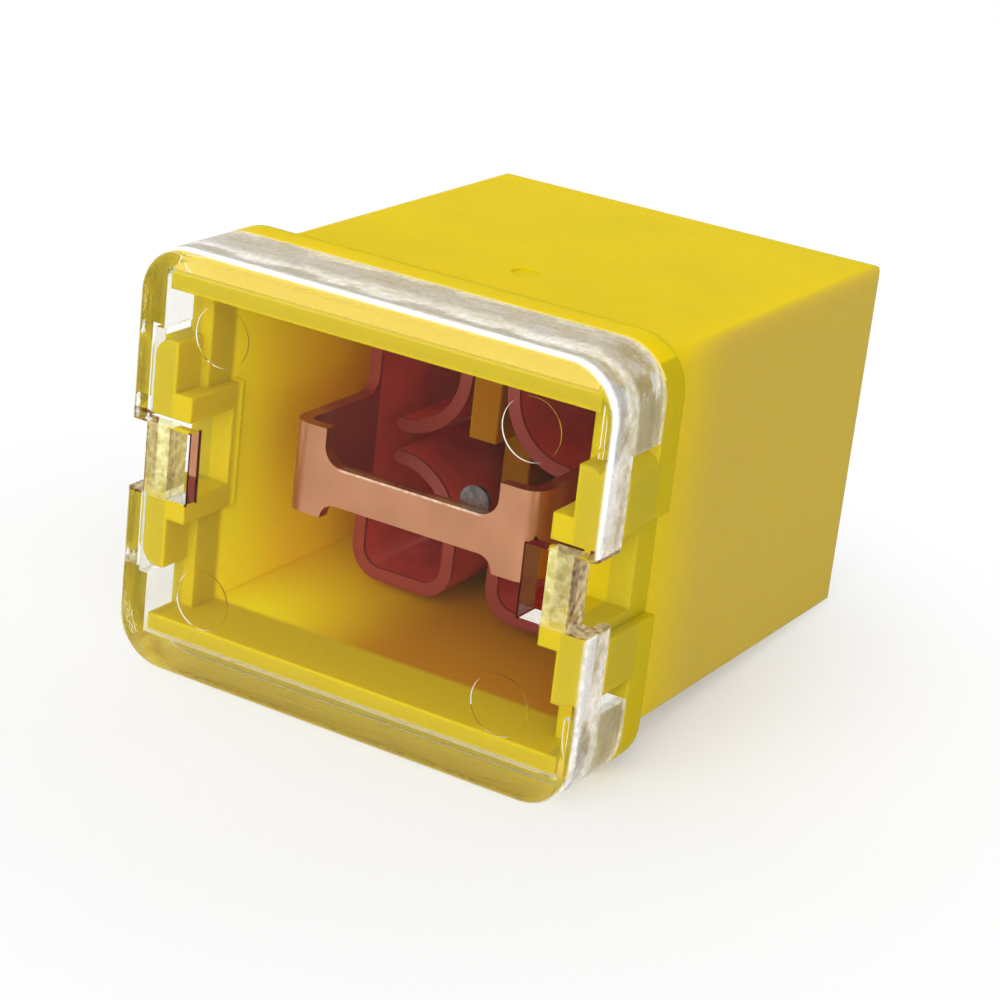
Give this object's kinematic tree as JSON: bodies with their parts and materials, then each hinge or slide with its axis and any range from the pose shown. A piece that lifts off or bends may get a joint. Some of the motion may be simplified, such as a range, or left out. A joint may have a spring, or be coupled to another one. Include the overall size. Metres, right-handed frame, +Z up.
{
  "type": "female cartridge fuse",
  "caption": "Low-profile female cartridge fuse: yellow moulded housing with a clear lid over a copper link, and blade sockets in the end opposite the lid.",
  "frame": {"origin": "middle of the fuse's width and length, at the height of its lowest edge when it lies level on its broad side", "axes": "-Y out of the lid's face, +Y out of the end with the two blade openings, +Z up through the broad side, +X to the right when looking along +Y"},
  "size_m": [0.0152, 0.0184, 0.0126],
  "materials": {
    "yellow_plastic": "satin, slightly translucent moulded plastic",
    "clear_plastic": "clear, polished",
    "copper": "plain pressed copper sheet",
    "tin": "solidified tin, dull silver"
  },
  "bodies": {
    "root": {"housing": "yellow_plastic", "lid": "clear_plastic", "fuse_element": "copper", "tin_bead": "tin"}
  },
  "joints": []
}
